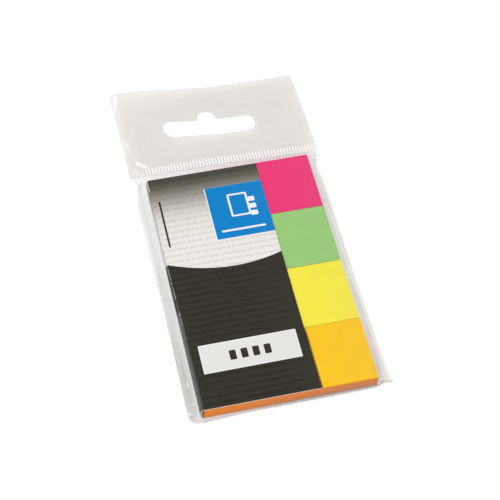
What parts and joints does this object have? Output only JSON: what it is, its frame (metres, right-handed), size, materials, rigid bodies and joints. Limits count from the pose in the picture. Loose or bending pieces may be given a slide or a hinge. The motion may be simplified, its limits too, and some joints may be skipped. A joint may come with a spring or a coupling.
{
  "type": "pack of sticky index tabs",
  "caption": "Neon sticky index tabs: blocks of paper tabs side by side in a folded card cover, sealed in a clear film pouch with a slotted hanging header.",
  "frame": {"origin": "centre of the pack's back face, on the outside of the pouch's back film", "axes": "+X to the free ends of the tabs, +Y to the hanging header, +Z out of the front"},
  "size_m": [0.0597, 0.1159, 0.006],
  "materials": {
    "pink_paper": "matt neon paper",
    "green_paper": "matt neon paper",
    "yellow_paper": "matt neon paper",
    "orange_paper": "matt neon paper",
    "printed_card": "printed, satin",
    "clear_film": "clear glossy film",
    "header_film": "doubled film, slightly hazy"
  },
  "bodies": {
    "root": {"pad_pink": "pink_paper", "pad_green": "green_paper", "pad_yellow": "yellow_paper", "pad_orange": "orange_paper", "cover_card": "printed_card", "pouch": "clear_film", "hang_header": "header_film"}
  },
  "joints": []
}
